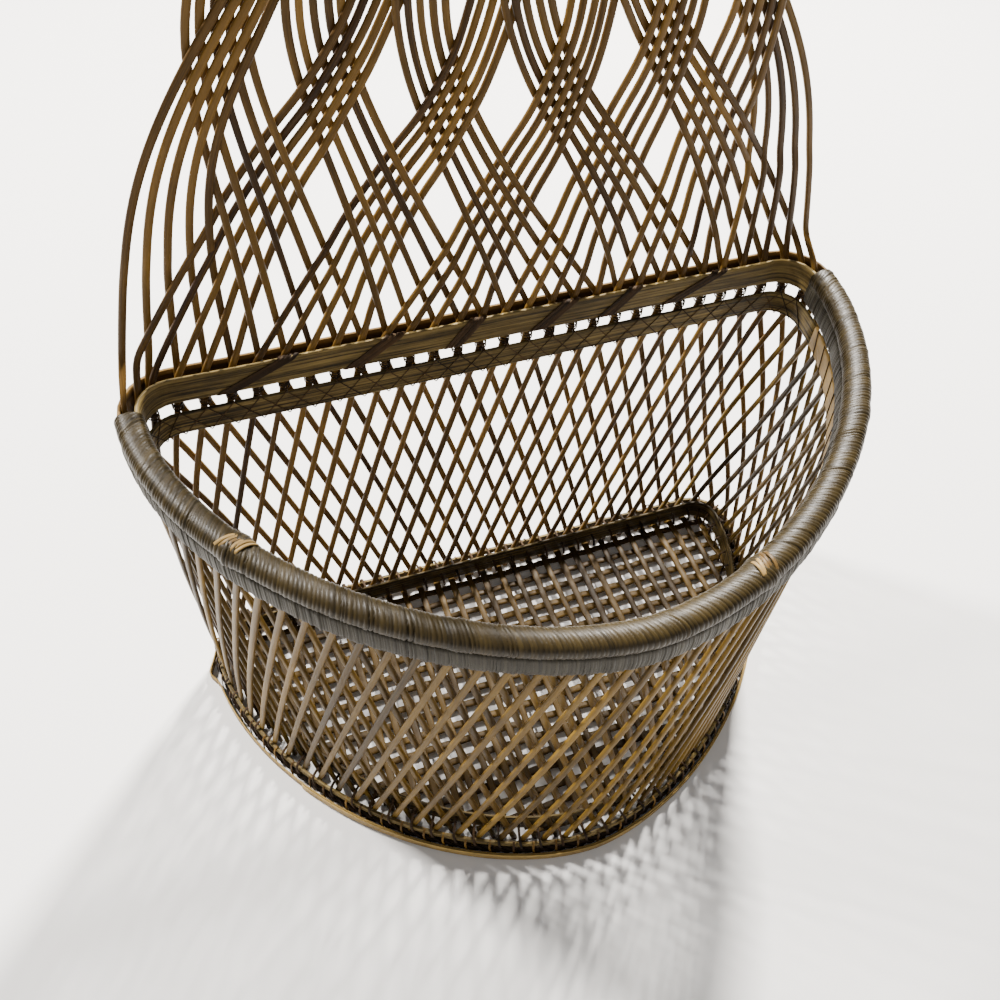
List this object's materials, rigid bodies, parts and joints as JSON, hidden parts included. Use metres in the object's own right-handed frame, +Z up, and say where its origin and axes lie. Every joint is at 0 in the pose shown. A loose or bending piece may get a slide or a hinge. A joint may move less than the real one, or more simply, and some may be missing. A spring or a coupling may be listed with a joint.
{
  "type": "wicker wall basket",
  "caption": "D-shaped wicker wall basket: open lattice of crossing splints, wrapped rim, woven floor, and a back that runs on upward as a plaited panel with a hanging loop",
  "frame": {"origin": "middle of the bounding box's underside, on the surface that the foot strip stands on", "axes": "+Z up along the plaited back panel, +Y out of the flat back toward the wall, +X to the right for someone who faces the basket's front from -Y"},
  "size_m": [0.2266, 0.1262, 0.3196],
  "materials": {
    "cane": "weathered satin",
    "pale_cane": "satin",
    "bamboo": "satin",
    "binding": "polished by use"
  },
  "bodies": {
    "root": {"back_bundle_right_1": "cane", "back_bundle_right_2": "cane", "back_bundle_right_3": "cane", "back_bundle_right_4": "cane", "back_bundle_right_5": "cane", "back_bundle_right_6": "cane", "back_bundle_left_1": "cane", "back_bundle_left_2": "cane", "back_bundle_left_3": "cane", "back_bundle_left_4": "cane", "back_bundle_left_5": "cane", "back_bundle_left_6": "cane", "front_splints_1": "pale_cane", "front_splints_2": "pale_cane", "front_splints_3": "pale_cane", "front_splints_4": "pale_cane", "front_splints_5": "pale_cane", "front_splints_6": "pale_cane", "front_splints_7": "pale_cane", "front_splints_8": "pale_cane", "front_splints_9": "pale_cane", "front_splints_10": "pale_cane", "front_splints_11": "pale_cane", "base_mat": "pale_cane", "foot_strip": "pale_cane", "upper_band_inner": "bamboo", "upper_band_outer": "bamboo", "lower_strip": "bamboo", "base_inner_hoop": "bamboo", "base_outer_strip": "bamboo", "rim_binding": "binding", "head_binding": "binding", "hanging_loop": "binding"}
  },
  "joints": []
}
